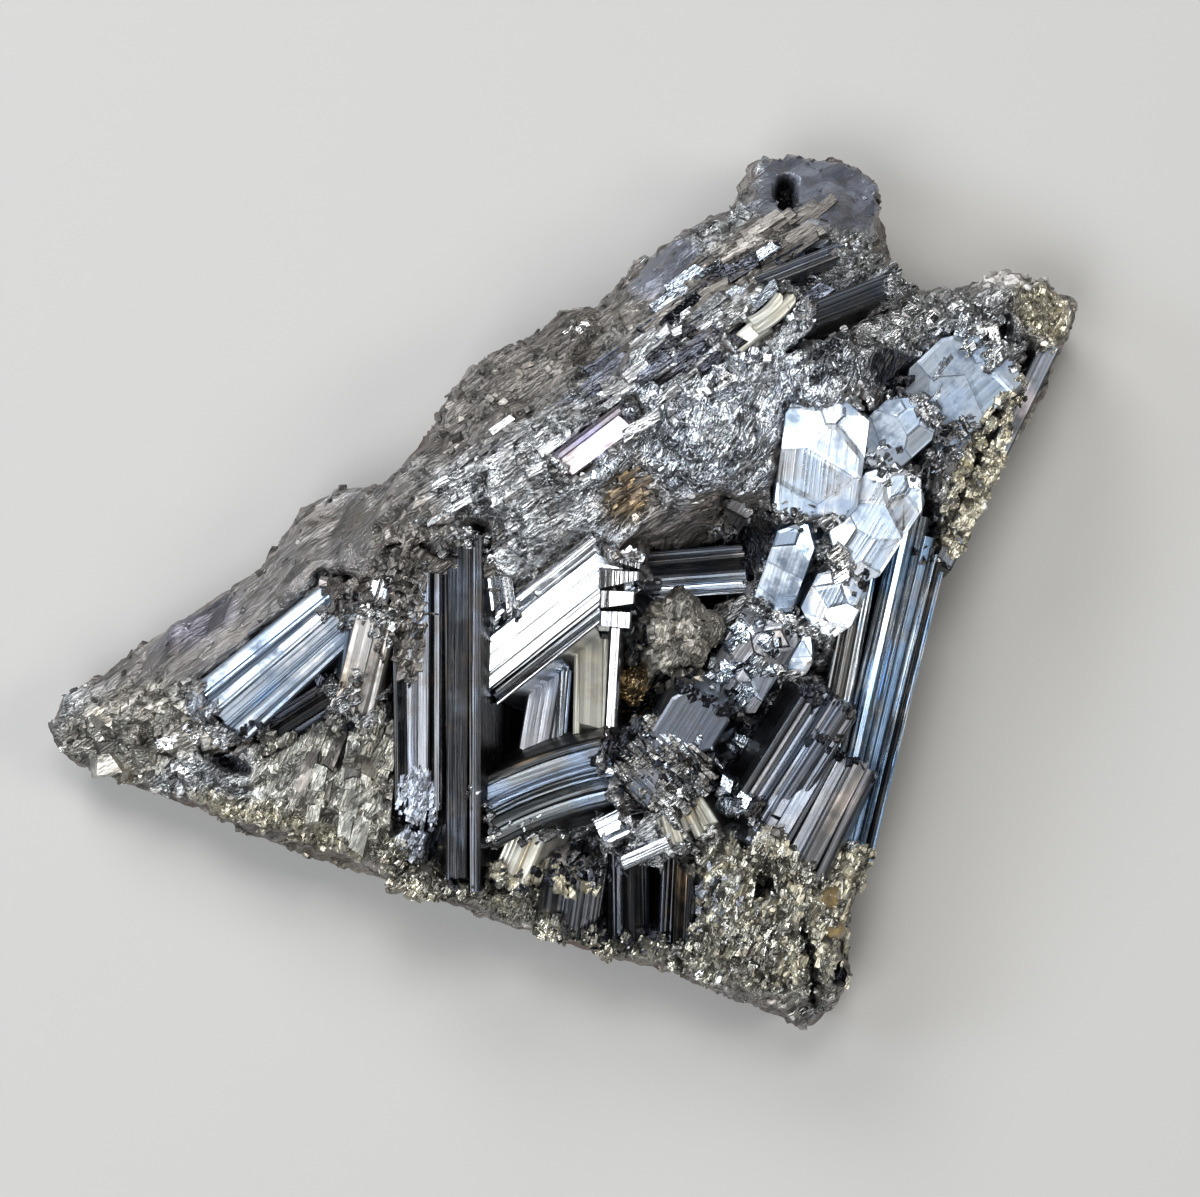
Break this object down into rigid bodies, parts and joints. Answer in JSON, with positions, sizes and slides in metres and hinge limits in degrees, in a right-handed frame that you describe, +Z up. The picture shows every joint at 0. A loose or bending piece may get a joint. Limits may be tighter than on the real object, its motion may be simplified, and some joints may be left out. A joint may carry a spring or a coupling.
{
  "type": "stibnite crystal specimen",
  "caption": "Kite-shaped hand specimen of stibnite: silvery striated blades and blocky crystals grown in the pocket of a granular slab, lying on its flat back.",
  "frame": {"origin": "middle of the footprint, on the surface that the specimen lies on", "axes": "+X along the longest side, from the left tip to the right knob; +Y towards the top knob; +Z up, out of the display face"},
  "size_m": [0.0754, 0.0642, 0.0224],
  "materials": {
    "massive_stibnite": "granular massive stibnite with a dull to bright metallic lustre, partly coated with a brown crust",
    "blade_stibnite": "blue-grey metallic blades with fine streaks along their length",
    "dark_stibnite": "dark, polished, blue-violet metallic faces",
    "bright_stibnite": "mirror-bright silver faces",
    "pyrite_crust": "granular brassy to bronze crust",
    "pale_crust": "pale cream, leafy crust with a pearly sheen"
  },
  "bodies": {
    "root": {"matrix": "massive_stibnite", "tall_dark_blade": "dark_stibnite", "stepped_needle": "bright_stibnite", "broad_bright_blade": "bright_stibnite", "white_facet": "bright_stibnite", "recess_blade_left": "dark_stibnite", "recess_blade_thin": "blade_stibnite", "recess_blade_pale": "pale_crust", "bent_blades": "blade_stibnite", "grey_plate": "dark_stibnite", "crumpled_mass": "dark_stibnite", "feather_lamellae": "pale_crust", "brown_lump": "pyrite_crust", "gold_lump": "pyrite_crust", "bright_plate_top": "bright_stibnite", "bright_plate_right": "bright_stibnite", "grey_bar": "blade_stibnite", "white_block": "bright_stibnite", "small_block": "bright_stibnite", "facet_chain": "dark_stibnite", "grey_block": "blade_stibnite", "smooth_plate": "blade_stibnite", "cross_lath_upper": "blade_stibnite", "cross_lath_lower": "blade_stibnite", "cross_plate": "dark_stibnite", "right_fan": "blade_stibnite", "edge_blade": "dark_stibnite", "long_needle": "blade_stibnite", "slim_lath": "blade_stibnite", "corner_blade_upper": "blade_stibnite", "corner_blade_lower": "dark_stibnite", "foot_blade_left": "dark_stibnite", "foot_blade_middle": "dark_stibnite", "foot_blade_right": "dark_stibnite", "white_bar": "bright_stibnite", "white_stub": "bright_stibnite", "pale_flake": "pale_crust", "left_fan": "blade_stibnite", "left_lower_blade": "dark_stibnite", "upright_blades": "blade_stibnite", "bright_chip": "bright_stibnite", "weathered_prism": "pyrite_crust", "cream_flake": "pale_crust", "ridge_lath_upper": "dark_stibnite", "ridge_lath_lower": "dark_stibnite", "ridge_lath_rosy": "bright_stibnite"}
  },
  "joints": []
}
